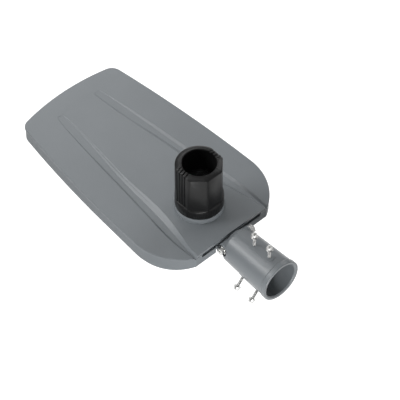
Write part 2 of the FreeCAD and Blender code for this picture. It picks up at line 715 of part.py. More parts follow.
def spigot():
    """Cast slip fitter: bore, clamp pads, domed root and the pivot's knuckle."""
    tube = fused([tube_solid(), clamp_pad(1), clamp_pad(-1)])
    knuckle = rod(KNUCKLE_R, 2 * KNUCKLE_HALF, V(-KNUCKLE_HALF, PIVOT_Y, PIVOT_Z), X_AXIS)
    for side in (-1, 1):
        x0 = min(side * KNUCKLE_HALF, side * COLLAR_R)
        cheek = COLLAR_R - KNUCKLE_HALF
        tube = tube.cut(box(x0, x0 + cheek, PIVOT_Y, PIVOT_Y + 40, -COLLAR_R, COLLAR_R))
        tube = tube.cut(rod(EAR_R + EAR_ROOM, cheek, V(x0, PIVOT_Y, PIVOT_Z), X_AXIS))
    body = fused([tube, knuckle])
    lead = Part.makeCone(MOUTH_R, POLE_BORE_R, LEAD_IN, V(0, 0, 0), Y_AXIS)
    body = body.cut(lead)
    body = body.cut(rod(POLE_BORE_R, BORE_DEPTH, V(0, 0, 0), Y_AXIS))
    neck_length = NECK_DEPTH - BORE_DEPTH + 1
    neck_start = V(0, BORE_DEPTH - 1, 0)
    body = body.cut(Part.makeCone(NECK_BORE_R, NECK_BORE_R - NECK_TAPER, neck_length, neck_start, Y_AXIS))
    body = body.cut(rod(CABLE_HOLE_R, 40, V(0, NECK_DEPTH - 2, CABLE_HOLE_Z), Y_AXIS))
    body = body.cut(rod(PIVOT_BOLT_R, 2 * COLLAR_R, V(-COLLAR_R, PIVOT_Y, PIVOT_Z), X_AXIS))
    for y in CLAMP_Y:
        for side in (-1, 1):
            out = clamp_direction(side)
            body = body.cut(rod(CLAMP_SCREW_R, 20, V(0, y, 0) + out * (POLE_BORE_R - 4), out))
    return body


def clamp_screw(y, side):
    """A clamp screw backed out of its thread, with its tip still in the wall."""
    out = clamp_direction(side)
    tip = V(0, y, 0) + out * (POLE_BORE_R + CLAMP_TIP)
    seat = tip + out * CLAMP_SCREW_LENGTH
    return cap_screw(seat, CLAMP_SCREW_LENGTH, out * -1, CLAMP_SCREW_R, CLAMP_HEAD_R, CLAMP_HEAD_H)


def clamp_washer(y, side):
    """A washer under a clamp screw's head."""
    out = clamp_direction(side)
    under = POLE_BORE_R + CLAMP_TIP + CLAMP_SCREW_LENGTH - CLAMP_WASHER_T
    return ring(CLAMP_WASHER_R, CLAMP_SCREW_R, CLAMP_WASHER_T, V(0, y, 0) + out * under, out)


def upper_clamp_screws():
    return [clamp_screw(y, 1) for y in CLAMP_Y]


def upper_washers():
    return [clamp_washer(y, 1) for y in CLAMP_Y]


def lower_clamp_screws():
    return [clamp_screw(y, -1) for y in CLAMP_Y]


def lower_washers():
    return [clamp_washer(y, -1) for y in CLAMP_Y]


def pivot_face():
    """Where the washers bear on the ears."""
    return KNUCKLE_HALF + EAR_GAP + EAR_THICKNESS + 0.1


def pivot_washers():
    """A washer outside each ear."""
    washers = []
    for x in (-pivot_face() - PIVOT_WASHER_T, pivot_face()):
        washers.append(ring(PIVOT_WASHER_R, PIVOT_BOLT_R, PIVOT_WASHER_T, V(x, PIVOT_Y, PIVOT_Z), X_AXIS))
    return washers


def pivot_bolt():
    """Bolt through both ears and the knuckle, with a socket head on the left."""
    seat = V(-pivot_face() - PIVOT_WASHER_T, PIVOT_Y, PIVOT_Z)
    shank = 2 * (pivot_face() + PIVOT_WASHER_T) + 9
    return cap_screw(seat, shank, X_AXIS, PIVOT_BOLT_R, PIVOT_HEAD_R, PIVOT_HEAD_H)


def pivot_nut():
    """Nut on the right end of the pivot bolt."""
    start = V(pivot_face() + PIVOT_WASHER_T, PIVOT_Y, PIVOT_Z)
    return hex_prism(13, 6.8, start, X_AXIS).cut(rod(PIVOT_BOLT_R, 8, start, X_AXIS))


def door_edges():
    """Near and far ends of the gear compartment's door."""
    return BELLY_NEAR + BELLY_DRAFT + DOOR_MARGIN, BELLY_FAR - BELLY_DRAFT - DOOR_MARGIN


def door_gasket():
    """Flat gasket between the door and the compartment."""
    near, far = door_edges()
    outer = rounded_slab(DOOR_HALF, near, far, 12, BELLY_Z - GASKET_T, BELLY_Z)
    inner = rounded_slab(DOOR_HALF - DOOR_LIP, near + DOOR_LIP, far - DOOR_LIP, 8,
                         BELLY_Z - GASKET_T - 1, BELLY_Z + 1)
    gasket = outer.cut(inner)
    for x, y in door_places():
        gasket = gasket.cut(rod(M4_R, 8, V(x, y, BELLY_Z - 5)))
    return gasket


def gear_door():
    """Door under the gear compartment."""
    near, far = door_edges()
    top = BELLY_Z - GASKET_T
    door = rounded_slab(DOOR_HALF, near, far, 12, top - DOOR_T, top)
    for x, y in door_places():
        door = door.cut(rod(M4_R, 10, V(x, y, top - 6)))
    return door


def door_screws():
    """Screws that hold the door."""
    seat = BELLY_Z - GASKET_T - DOOR_T
    return [hex_screw(V(x, y, seat), FLOOR_T + DOOR_T + GASKET_T, Z_AXIS) for x, y in door_places()]


def tray_top():
    return BELLY_Z + FLOOR_T + TRAY_T


def gear_tray():
    """Sheet steel tray that carries the gear, on the compartment's floor."""
    near = BELLY_NEAR + BELLY_DRAFT + WALL + TRAY_MARGIN
    far = BELLY_FAR - BELLY_DRAFT - WALL - TRAY_MARGIN
    return rounded_slab(TRAY_HALF, near, far, TRAY_CORNER_R, BELLY_Z + FLOOR_T, tray_top())


def led_driver():
    """Potted constant-current driver with a foot at each end."""
    x0, x1 = DRIVER_X
    y0, y1 = DRIVER_Y
    z0 = tray_top()
    can = box(x0, x1, y0 + 9, y1 - 9, z0, z0 + DRIVER_H)
    long_edges = [e for e in can.Edges if abs(e.tangentAt(e.FirstParameter).y) > 0.9]
    can = can.makeFillet(2.5, long_edges)
    feet = [box(x0 + 8, x1 - 8, a, b, z0, z0 + 3) for a, b in ((y0, y0 + 10), (y1 - 10, y1))]
    driver = fused([can] + feet)
    for x, y in driver_places():
        driver = driver.cut(rod(M4_R, 5, V(x, y, z0 - 1)))
    return driver


def driver_places():
    middle = (DRIVER_X[0] + DRIVER_X[1]) / 2
    return [(middle, DRIVER_Y[0] + 4.5), (middle, DRIVER_Y[1] - 4.5)]


def driver_screws():
    """Screws that hold the driver's feet to the tray."""
    seat = tray_top() + 3
    return [hex_screw(V(x, y, seat), 3, Z_AXIS * -1) for x, y in driver_places()]


def surge_protector():
    """Surge protection block beside the driver."""
    z0 = tray_top()
    block = box(SURGE_X[0], SURGE_X[1], SURGE_Y[0], SURGE_Y[1], z0, z0 + SURGE_H)
    upright = [e for e in block.Edges if abs(e.tangentAt(e.FirstParameter).z) > 0.9]
    return block.makeFillet(4, upright)


def terminal_block():
    """Terminal block with a screw well and a wire entry for each way."""
    z0 = tray_top()
    block = box(TERMINAL_X[0], TERMINAL_X[1], TERMINAL_Y[0], TERMINAL_Y[1], z0, z0 + TERMINAL_H)
    pitch = (TERMINAL_X[1] - TERMINAL_X[0]) / TERMINAL_WAYS
    middle = (TERMINAL_Y[0] + TERMINAL_Y[1]) / 2
    for way in range(TERMINAL_WAYS):
        x = TERMINAL_X[0] + pitch * (way + 0.5)
        block = block.cut(rod(2.4, 6, V(x, middle, z0 + TERMINAL_H - 5)))
        for y in (TERMINAL_Y[0] - 1, TERMINAL_Y[1] - 8):
            block = block.cut(box(x - 1.8, x + 1.8, y, y + 9, z0 + 4, z0 + 8))
    return block


def lamp_slab(inset, z0, z1):
    """A slab with the lamp frame's outline moved in."""
    return rounded_slab(LAMP_HALF - inset, LAMP_NEAR + inset, LAMP_FAR - inset,
                        LAMP_CORNER_R - min(inset, LAMP_CORNER_R - 3), z0, z1)


def lamp_low():
    return FLOOR_Z - GASKET_T - LAMP_DEPTH


def window_gasket():
    """Gasket between the lamp's frame and the housing."""
    gasket = lamp_slab(0.5, FLOOR_Z - GASKET_T, FLOOR_Z).cut(
        lamp_slab(LAMP_FRAME_W - 1, FLOOR_Z - GASKET_T - 1, FLOOR_Z + 1))
    for x, y in frame_places():
        gasket = gasket.cut(rod(M4_R, 5, V(x, y, FLOOR_Z - 3)))
    return gasket


def window_frame():
    """Frame that holds the glass under the lamps."""
    low = lamp_low()
    top = FLOOR_Z - GASKET_T
    frame = lamp_slab(0, low, top)
    rim = [e for e in frame.Edges if e.BoundBox.ZMax < low + 0.01]
    frame = frame.makeChamfer(2.5, rim)
    frame = frame.cut(lamp_slab(LAMP_FRAME_W, low + 1.5, top + 1))
    frame = frame.cut(lamp_slab(LAMP_FRAME_W + 3, low - 1, top + 1))
    for x, y in frame_places():
        frame = frame.cut(rod(M4_R, 30, V(x, y, low - 1)))
        frame = frame.cut(rod(M4_HEAD_R + M4_FIT, M4_HEAD_H + 0.6, V(x, y, low - 0.2)))
    return frame


def window_screws():
    """Screws through the lamp's frame into the housing."""
    seat = lamp_low() + M4_HEAD_H + SCREW_SUNK
    return [hex_screw(V(x, y, seat), FLOOR_Z + 7 - seat, Z_AXIS) for x, y in frame_places()]


def window_glass():
    """Toughened glass that lies on the frame's lip."""
    low = lamp_low() + 1.5
    return lamp_slab(LAMP_FRAME_W + GLASS_FIT, low, low + GLASS_T)


def board_slab(inset, z0, z1):
    return lamp_slab(LAMP_FRAME_W + 2 + inset, z0, z1)


def lamp_grid():
    """Centres of the lamps on the board."""
    half = LAMP_HALF - LAMP_FRAME_W - 16
    near = LAMP_NEAR + LAMP_FRAME_W + 18
    far = LAMP_FAR - LAMP_FRAME_W - 18
    places = []
    for row in range(LENS_ROWS):
        for column in range(LENS_COLUMNS):
            x = -half + 2 * half * column / (LENS_COLUMNS - 1)
            y = near + (far - near) * row / (LENS_ROWS - 1)
            places.append((x, y))
    return places


def led_board():
    """Aluminium-cored board against the housing."""
    return board_slab(0, FLOOR_Z - BOARD_T, FLOOR_Z)


def led_chips():
    """Square lamps on the board, facing down."""
    low = FLOOR_Z - BOARD_T - CHIP_T
    half = CHIP / 2
    return [box(x - half, x + half, y - half, y + half, low, low + CHIP_T) for x, y in lamp_grid()]


def lens_plate():
    """Clear plate with a faceted lens under each lamp, and a rim against the board."""
    top = FLOOR_Z - BOARD_T
    plate_top = top - CHIP_T - 1.0
    rim = board_slab(1, plate_top, top).cut(board_slab(5, plate_top - 1, top + 1))
    plate = board_slab(1, plate_top - LENS_PLATE_T, plate_top)
    solids = [rim, plate]
    base = plate_top - LENS_PLATE_T
    for x, y in lamp_grid():
        solids.append(faceted_lens(V(x, y, base)))
    return fused(solids)


def faceted_lens(centre):
    """An eight-sided lens that narrows downward from a centre on the plate."""
    wide = []
    narrow = []
    for step in range(LENS_SIDES):
        angle = 2 * math.pi * (step + 0.5) / LENS_SIDES
        out = V(math.cos(angle), math.sin(angle), 0)
        wide.append(centre + out * LENS_R)
        narrow.append(centre + out * LENS_TOP_R - V(0, 0, LENS_RISE))
    loops = [wide, narrow]
    for step in range(LENS_SIDES):
        after = (step + 1) % LENS_SIDES
        loops.append([wide[step], wide[after], narrow[after], narrow[step]])
    faces = [Part.Face(Part.makePolygon(loop + [loop[0]])) for loop in loops]
    solid = Part.Solid(Part.Shell(faces))
    return solid if solid.Volume > 0 else solid.reversed()


def socket():
    """Twist-lock socket on the cover, with a curved slot for each blade."""
    flange = turned([(0, PANEL_PAD_Z), (SOCKET_R, PANEL_PAD_Z), (SOCKET_R, SOCKET_TOP - 1),
                     (SOCKET_R - 1, SOCKET_TOP), (0, SOCKET_TOP)], V(0, SENSOR_Y, 0), Z_AXIS)
    barrel = rod(SOCKET_BODY_R, PANEL_PAD_Z - SOCKET_BOTTOM + 1, V(0, SENSOR_Y, SOCKET_BOTTOM))
    body = fused([flange, barrel])
    for turn in blade_angles():
        slot = blade_shape(turn - 3, BLADE_ARC + TWIST + 6, BLADE_FIT, BLADE_DEPTH + 2)
        body = body.cut(slot)
    for x, y in socket_screw_places():
        body = body.cut(rod(M4_R + M4_FIT, 12, V(x, y, PANEL_PAD_Z - 1)))
        body = body.cut(rod(M4_HEAD_R + M4_FIT, 6, V(x, y, SOCKET_TOP - M4_HEAD_H - 0.6)))
    return body


def socket_screws():
    """Screws that hold the socket to the cover."""
    seat = SOCKET_TOP - M4_HEAD_H - 0.6
    return [hex_screw(V(x, y, seat), SOCKET_SCREW_LENGTH, Z_AXIS * -1) for x, y in socket_screw_places()]


def blade_angles():
    """Start angles of the three blades."""
    return [0.0, 120.0, 240.0]


def blade_shape(start, sweep, extra, depth):
    """A curved blade about the sensor's axis, hanging from its base."""
    top = SOCKET_TOP
    height = depth
    outer = BLADE_R + BLADE_T / 2 + extra
    inner = BLADE_R - BLADE_T / 2 - extra
    face = Part.Face(Part.makePolygon([
        V(inner, 0, top - height), V(outer, 0, top - height), V(outer, 0, top + 2),
        V(inner, 0, top + 2), V(inner, 0, top - height)]))
    face.rotate(V(0, 0, 0), Z_AXIS, start)
    solid = face.revolve(V(0, 0, 0), Z_AXIS, sweep)
    solid.translate(V(0, SENSOR_Y, 0))
    return solid


def sensor_blades():
    """Three curved contact blades under the sensor's base."""
    blades = []
    for turn in blade_angles():
        blade = blade_shape(turn, BLADE_ARC, 0, BLADE_DEPTH)
        keep = rod(SOCKET_R, 60, V(0, SENSOR_Y, -20))
        keep = keep.common(box(-50, 50, SENSOR_Y - 50, SENSOR_Y + 50, -20, SENSOR_BASE_Z))
        blades.append(blade.common(keep))
    return blades


def sensor_gasket():
    """Ring of rubber that the sensor presses on its socket."""
    return ring(SOCKET_R - 1.5, SOCKET_BODY_R - 4, SENSOR_BASE_Z - SOCKET_TOP - 0.3,
                V(0, SENSOR_Y, SOCKET_TOP + 0.3))


def sensor_base():
    """Moulded base that carries the blades and closes the sensor."""
    return rod(SKIRT_R - SHELL_WALL - 0.2, 4.0, V(0, SENSOR_Y, SENSOR_BASE_Z))


def flat_cutter():
    """What one flat takes off the sensor's round body, down to the flare above its skirt."""
    far = SKIRT_R + 8
    top = BODY_TOP + 5
    points = [
        (FLAT_REACH - 2 * RIM_ROUND, top), (FLAT_REACH - 2 * RIM_ROUND, RIM_EDGE_Z + 2 * RIM_ROUND),
        (FLAT_REACH, RIM_EDGE_Z - RIM_ROUND / 2), (FLAT_REACH, FLAT_BOTTOM),
        (SKIRT_R + 0.5, SKIRT_TOP), (far, SKIRT_TOP), (far, top),
    ]
    corners = [V(r, -BODY_R, z) for r, z in points]
    return Part.Face(Part.makePolygon(corners + [corners[0]])).extrude(V(0, 2 * BODY_R, 0))


def grip_slot(side, slot):
    """A slot down one side of the sensor that starts at the well's edge."""
    depth = RIB_SLOT_DEPTH
    points = [
        (FLAT_REACH + 6, RIB_BOTTOM), (FLAT_REACH + 6, BODY_TOP + 3), (WELL_R - 1, BODY_TOP + 3),
        (WELL_R - 1, BODY_TOP - depth), (FLAT_REACH - depth, RIM_EDGE_Z - depth / 2),
        (FLAT_REACH - depth, RIB_BOTTOM),
    ]
    y = -side * RIB_SHIFT + RIB_PITCH * (slot - (RIB_SLOTS - 1) / 2) - RIB_SLOT_W / 2
    corners = [V(side * x, y, z) for x, z in points]
    return Part.Face(Part.makePolygon(corners + [corners[0]])).extrude(V(0, RIB_SLOT_W, 0))


def sensor_body():
    """Moulded shell: a skirt, an eight-sided body with grip slots and the deep sensor well."""
    low = SENSOR_BASE_Z
    inner = SKIRT_R - SHELL_WALL
    body_inner = FLAT_REACH - SHELL_WALL
    section = [
        (inner, low), (SKIRT_R, low), (SKIRT_R, FLAT_BOTTOM - 2), (BODY_R, RIM_EDGE_Z - RIM_ROUND),
        (BODY_R - RIM_ROUND, RIM_EDGE_Z), (WELL_R + 1, BODY_TOP), (WELL_R, BODY_TOP - 1),
        (WELL_R, WELL_FLOOR), (WELL_R - 4, WELL_FLOOR), (WELL_R - 4, WELL_FLOOR - SHELL_WALL),
        (body_inner, WELL_FLOOR - SHELL_WALL), (body_inner, SKIRT_TOP - 1), (inner, SKIRT_TOP - 5),
    ]
    shell = turned(section, V(0, 0, 0), Z_AXIS)
    for turn in range(FLAT_COUNT):
        cutter = flat_cutter()
        cutter.rotate(V(0, 0, 0), Z_AXIS, turn * 360 / FLAT_COUNT)
        shell = shell.cut(cutter)
    cuts = [grip_slot(side, slot) for side in (-1, 1) for slot in range(RIB_SLOTS)]
    shell = shell.cut(cuts[0].multiFuse(cuts[1:]))
    shell.translate(V(0, SENSOR_Y, 0))
    return shell


def sensor_window():
    """Clear disc at the bottom of the well."""
    return rod(WELL_R - 0.2, 2.0, V(0, SENSOR_Y, WELL_FLOOR))


def sensor_board():
    """Round circuit board on three posts, with the light cell in its middle."""
    z = SENSOR_BASE_Z + 4.0
    board = rod(FLAT_REACH - SHELL_WALL - 2, 1.6, V(0, SENSOR_Y, z + POST_H))
    solids = [board]
    for turn in (60, 180, 300):
        angle = math.radians(turn)
        at = V(24 * math.cos(angle), SENSOR_Y + 24 * math.sin(angle), z)
        solids.append(rod(POST_R, POST_H + 0.5, at))
    solids.append(rod(2 * POST_R, CELL_H, V(0, SENSOR_Y, z + POST_H + 1)))
    relay_z = z + POST_H + 1
    solids.append(box(-18, -6, SENSOR_Y + 6, SENSOR_Y + 18, relay_z, relay_z + RELAY_H))
    return fused(solids)


BUILDERS = (
    top_cover, cover_gasket, housing, cover_screws, vent_plug, cable_gland, tilt_bracket,
    bracket_screws, gear_tray, led_driver, driver_screws, surge_protector, terminal_block,
    door_gasket, gear_door, door_screws, window_gasket, window_frame, window_screws, window_glass,
    led_board, led_chips, lens_plate, socket, socket_screws, sensor_blades, sensor_gasket,
    sensor_base, sensor_body, sensor_window, sensor_board, spigot, upper_clamp_screws,
    upper_washers, lower_clamp_screws, lower_washers, pivot_bolt, pivot_nut, pivot_washers,
)


def main():
    """Write one file for each piece, and say how many solids it holds."""
    os.makedirs("parts", exist_ok=True)
    for builder in BUILDERS:
        built = builder()
        solids = built if isinstance(built, list) else [built]
        loose = [solid for shape in solids for solid in shape.Solids]
        shape = loose[0] if len(loose) == 1 else Part.makeCompound(loose)
        shape.exportStep(os.path.join("parts", builder.__name__ + ".step"))
        print(builder.__name__, len(loose), shape.isValid(), round(shape.Volume / 1000, 2))


main()
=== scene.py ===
import json
import math

import bmesh
import bpy
from mathutils import Matrix, Vector


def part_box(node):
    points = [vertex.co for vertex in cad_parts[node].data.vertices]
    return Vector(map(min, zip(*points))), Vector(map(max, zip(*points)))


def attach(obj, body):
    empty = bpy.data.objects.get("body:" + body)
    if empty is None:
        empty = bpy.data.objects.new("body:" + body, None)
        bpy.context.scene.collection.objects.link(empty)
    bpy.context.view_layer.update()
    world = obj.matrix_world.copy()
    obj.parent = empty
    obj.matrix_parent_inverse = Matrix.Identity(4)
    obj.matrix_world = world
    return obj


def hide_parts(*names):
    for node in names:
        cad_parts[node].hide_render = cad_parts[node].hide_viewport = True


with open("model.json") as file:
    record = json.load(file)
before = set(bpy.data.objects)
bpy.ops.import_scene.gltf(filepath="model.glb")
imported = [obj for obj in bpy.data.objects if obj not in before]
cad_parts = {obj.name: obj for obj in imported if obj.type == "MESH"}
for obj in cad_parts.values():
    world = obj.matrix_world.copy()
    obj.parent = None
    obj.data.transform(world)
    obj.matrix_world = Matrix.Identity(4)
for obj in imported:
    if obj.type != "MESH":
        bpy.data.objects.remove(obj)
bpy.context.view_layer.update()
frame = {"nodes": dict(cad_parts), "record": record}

NODES = frame["nodes"]
MM = 0.001


# Small helpers for node materials

NOISE_LOW = 0.3
NOISE_HIGH = 0.7


def new_material(name):
    """An empty node material with a Principled shader, and its tree."""
    material = bpy.data.materials.new(name)
    material.use_nodes = True
    tree = material.node_tree
    tree.nodes.clear()
    output = tree.nodes.new("ShaderNodeOutputMaterial")
    shader = tree.nodes.new("ShaderNodeBsdfPrincipled")
    tree.links.new(shader.outputs["BSDF"], output.inputs["Surface"])
    return material, tree, shader


def object_noise(tree, scale, detail):
    """The height of a noise texture in the row frame."""
    coordinates = tree.nodes.new("ShaderNodeTexCoord")
    noise = tree.nodes.new("ShaderNodeTexNoise")
    noise.inputs["Scale"].default_value = scale
    noise.inputs["Detail"].default_value = detail
    noise.inputs["Roughness"].default_value = 0.55
    tree.links.new(coordinates.outputs["Object"], noise.inputs["Vector"])
    return noise.outputs["Fac"]


def remap(tree, source, low, high, to_low, to_high):
    """A number moved from one range to another."""
    node = tree.nodes.new("ShaderNodeMapRange")
    node.inputs["From Min"].default_value = low
    node.inputs["From Max"].default_value = high
    node.inputs["To Min"].default_value = to_low
    node.inputs["To Max"].default_value = to_high
    tree.links.new(source, node.inputs["Value"])
    return node.outputs["Result"]


def vary(tree, noise, low, high):
    """A number that follows a noise between two values."""
    return remap(tree, noise, NOISE_LOW, NOISE_HIGH, low, high)


def two_tone(tree, noise, dark, light):
    """A colour that follows a noise between two colours."""
    mix = tree.nodes.new("ShaderNodeMix")
    mix.data_type = "RGBA"
    mix.inputs["A"].default_value = (*dark, 1)
    mix.inputs["B"].default_value = (*light, 1)
    tree.links.new(vary(tree, noise, 0.0, 1.0), mix.inputs["Factor"])
    return mix.outputs["Result"]


def add_bump(tree, shader, height, strength, distance):
    """A bump from a height, set on the shader."""
    bump = tree.nodes.new("ShaderNodeBump")
    bump.inputs["Strength"].default_value = strength
    bump.inputs["Distance"].default_value = distance
    tree.links.new(height, bump.inputs["Height"])
    tree.links.new(bump.outputs["Normal"], shader.inputs["Normal"])


def shade_of(colour, factor):
    return tuple(channel * factor for channel in colour)


def powder_coat(name, colour, roughness, gloss=0.5):
    """Fine-grained powder coat with faint cloudiness."""
    material, tree, shader = new_material(name)
    shader.inputs["Specular IOR Level"].default_value = gloss
    cloud = object_noise(tree, 9.0, 3.0)
    tone = two_tone(tree, cloud, shade_of(colour, 0.97), shade_of(colour, 1.03))
    tree.links.new(tone, shader.inputs["Base Color"])
    grain = object_noise(tree, 1400.0, 2.0)
    tree.links.new(vary(tree, grain, roughness - 0.04, roughness + 0.05), shader.inputs["Roughness"])
    add_bump(tree, shader, grain, 0.25, 0.00025)
    return material


def moulded_plastic(name, colour, roughness, gloss=0.5):
    """Moulded plastic or rubber with a light spark-eroded grain."""
    material, tree, shader = new_material(name)
    shader.inputs["Specular IOR Level"].default_value = gloss
    cloud = object_noise(tree, 30.0, 3.0)
    tone = two_tone(tree, cloud, shade_of(colour, 0.85), shade_of(colour, 1.15))
    tree.links.new(tone, shader.inputs["Base Color"])
    grain = object_noise(tree, 2200.0, 2.0)
    tree.links.new(vary(tree, grain, roughness - 0.05, roughness + 0.06), shader.inputs["Roughness"])
    add_bump(tree, shader, grain, 0.15, 0.0002)
    return material


def bright_metal(name, colour, roughness):
    """Bright steel or brass with fine tool marks."""
    material, tree, shader = new_material(name)
    shader.inputs["Metallic"].default_value = 1.0
    marks = object_noise(tree, 900.0, 3.0)
    tree.links.new(two_tone(tree, marks, shade_of(colour, 0.9), colour), shader.inputs["Base Color"])
    tree.links.new(vary(tree, marks, roughness - 0.06, roughness + 0.08), shader.inputs["Roughness"])
    return material


def clear_material(name, colour, roughness):
    """Clear glass or plastic."""
    material, tree, shader = new_material(name)
    shader.inputs["Base Color"].default_value = (*colour, 1)
    shader.inputs["Transmission Weight"].default_value = 1.0
    shader.inputs["IOR"].default_value = 1.49
    haze = object_noise(tree, 60.0, 2.0)
    tree.links.new(vary(tree, haze, roughness, roughness + 0.04), shader.inputs["Roughness"])
    return material


PAINT = (0.200, 0.218, 0.232)
# The housing's paint is the cover's paint made lighter, as painted light on the housing's walls.
HOUSING_PAINT_LIT = shade_of(PAINT, 1.08)
# The spigot's paint is the cover's paint made darker, as painted shade on the tube, collar and bore.
SPIGOT_PAINT_SHADED = shade_of(PAINT, 0.92)
SHELL_BLACK = (0.0075, 0.0076, 0.0078)
MATERIALS = {
    "cover_paint": powder_coat("cover_paint", PAINT, 0.40),
    "housing_paint": powder_coat("housing_paint", HOUSING_PAINT_LIT, 0.50, gloss=0.25),
    "spigot_paint": powder_coat("spigot_paint", SPIGOT_PAINT_SHADED, 0.33),
    "black_plastic": moulded_plastic("black_plastic", SHELL_BLACK, 0.33, gloss=0.25),
    "clear_plastic": clear_material("clear_plastic", (0.75, 0.78, 0.8), 0.05),
    "toughened_glass": clear_material("toughened_glass", (0.93, 0.97, 0.96), 0.01),
    "screw_steel": bright_metal("screw_steel", (0.62, 0.62, 0.61), 0.26),
    "zinc_steel": bright_metal("zinc_steel", (0.6, 0.61, 0.62), 0.4),
    "blade_brass": bright_metal("blade_brass", (0.8, 0.62, 0.3), 0.3),
    "seal_rubber": moulded_plastic("seal_rubber", (0.018, 0.018, 0.019), 0.7),
    "board_white": moulded_plastic("board_white", (0.78, 0.78, 0.76), 0.35),
    "board_green": moulded_plastic("board_green", (0.02, 0.16, 0.06), 0.35),
    "lamp_yellow": moulded_plastic("lamp_yellow", (0.85, 0.68, 0.12), 0.3),
    "driver_case": powder_coat("driver_case", (0.62, 0.63, 0.63), 0.45),
    "terminal_plastic": moulded_plastic("terminal_plastic", (0.62, 0.62, 0.6), 0.45),
}
for part in frame["record"]["subparts"]:
    mesh = NODES[part["node"]].data
    mesh.materials.clear()
    mesh.materials.append(MATERIALS[part["material_slot"]])


# Mesh helpers

EDGE_SEGMENTS = 2
EDGE_ANGLE = math.radians(28)
SMOOTH_ANGLE = math.radians(35)
AXIS_R = 0.001


def new_piece(name, mesh, material):
    """An object of a mesh, in the frame, with one material."""
    piece = bpy.data.objects.new(name, mesh)
    mesh.materials.clear()
    mesh.materials.append(MATERIALS[material])
    bpy.context.scene.collection.objects.link(piece)
    return piece


def lathe(name, section, segments):
    """A closed section of (radius, height) in mm, turned round the Z axis."""
    mesh = bpy.data.meshes.new(name)
    verts = []
    for step in range(segments):
        angle = 2 * math.pi * step / segments
        for radius, height in section:
            verts.append((radius * math.cos(angle) * MM, radius * math.sin(angle) * MM, height * MM))
    rows = len(section)
    faces = []
    for step in range(segments):
        here = step * rows
        there = (step + 1) % segments * rows
        for row in range(rows):
            up = (row + 1) % rows
            faces.append((here + row, there + row, there + up, here + up))
    mesh.from_pydata(verts, [], faces)
    return mesh


def prisms(name, shapes):
    """One mesh of several prisms: each an outline of (r, z) in mm, low y, high y and a turn in degrees."""
    mesh = bpy.data.meshes.new(name)
    verts = []
    faces = []
    for outline, low, high, turn in shapes:
        first = len(verts)
        count = len(outline)
        spin = Matrix.Rotation(math.radians(turn), 3, "Z")
        for y in (low, high):
            verts += [spin @ Vector((r, y, z)) * MM for r, z in outline]
        faces.append(tuple(first + k for k in range(count)))
        faces.append(tuple(first + count + k for k in reversed(range(count))))
        for k in range(count):
            ahead = (k + 1) % count
            faces.append((first + ahead, first + k, first + count + k, first + count + ahead))
    mesh.from_pydata(verts, [], faces)
    return mesh


def smooth(mesh):
    """Smooth faces that keep their sharp edges."""
    mesh.shade_smooth()
    mesh.set_sharp_from_angle(angle=SMOOTH_ANGLE)


def cut_and_soften(piece, cutters, edge):
    """Cut the piece by a mesh, break its sharp edges by a width in mm and keep the result as its mesh."""
    tool = bpy.data.objects.new(piece.name + "_cut", cutters)
    bpy.context.scene.collection.objects.link(tool)
    boolean = piece.modifiers.new("cut", "BOOLEAN")
    boolean.object = tool
    boolean.solver = "EXACT"
    boolean.use_self = True
    bevel = piece.modifiers.new("edges", "BEVEL")
    bevel.width = edge * MM
    bevel.segments = EDGE_SEGMENTS
    bevel.limit_method = "ANGLE"
    bevel.angle_limit = EDGE_ANGLE
    bevel.harden_normals = True
    bpy.context.view_layer.update()
    ready = piece.evaluated_get(bpy.context.evaluated_depsgraph_get())
    mesh = bpy.data.meshes.new_from_object(ready)
    piece.modifiers.clear()
    piece.data = mesh
    smooth(mesh)
    bpy.data.objects.remove(tool)


# Light sensor: the moulded shell again, with a round back, flats on the near side and broken edges

FLAT_TURNS = (180, 225, 270, 315, 0)
FLAT_REACH = 36.5
FLAT_LOW = 47.0
SHELL_R = 38.8
SHELL_LOW = 29.5
SHELL_TOP = 122.7
SHELL_WALL = 2.6
SHELL_SIDES = 160
SHELL_EDGE = 0.5
SKIRT_R = 39.5
SKIRT_TOP = 44.0
SKIRT_RISE = 4.0
SHOULDER_RISE = 10.0
SKIRT_DROP = 5.0
RIM_EDGE = 119.0
RIM_EASE = 1.0
WELL_R = 27.5
WELL_FLOOR = 74.0
WELL_LEDGE = 4.0
TOP_SLOPE_IN = 2.0
SLOT_TURNS = (0, 180)
SLOT_DEPTH = 1.6
SLOT_LOW = 47.0
SLOT_WIDTH = 2.4
SLOT_PITCH = 6.0
SLOT_COUNT = 4
SLOT_SHIFT = 3.0
CUT_OUT = SKIRT_R + 8.0
CUT_OVER = SHELL_TOP + 5.0


def shell_section():
    """The closed section of the shell's wall, up the outside and down the well."""
    skirt_in = SKIRT_R - SHELL_WALL
    body_in = FLAT_REACH - SHELL_WALL
    ledge_low = WELL_FLOOR - SHELL_WALL
    return [
        (skirt_in, SHELL_LOW),
        (SKIRT_R, SHELL_LOW),
        (SKIRT_R, SKIRT_TOP + SKIRT_RISE),
        (SHELL_R, SKIRT_TOP + SHOULDER_RISE),
        (SHELL_R, RIM_EDGE - RIM_EASE),
        (SHELL_R - RIM_EASE, RIM_EDGE),
        (WELL_R + RIM_EASE, SHELL_TOP),
        (WELL_R, SHELL_TOP - RIM_EASE),
        (WELL_R, WELL_FLOOR),
        (WELL_R - WELL_LEDGE, WELL_FLOOR),
        (WELL_R - WELL_LEDGE, ledge_low),
        (body_in, ledge_low),
        (body_in, SKIRT_TOP - RIM_EASE),
        (skirt_in, SKIRT_TOP - SKIRT_DROP),
    ]


def flat_outline():
    """What a flat takes off, from the shell's top down to the skirt."""
    return [
        (FLAT_REACH - TOP_SLOPE_IN, CUT_OVER),
        (FLAT_REACH - TOP_SLOPE_IN, RIM_EDGE + 2),
        (FLAT_REACH, RIM_EDGE - 0.5),
        (FLAT_REACH, FLAT_LOW),
        (SKIRT_R + 0.5, SKIRT_TOP),
        (CUT_OUT, SKIRT_TOP),
        (CUT_OUT, CUT_OVER),
    ]


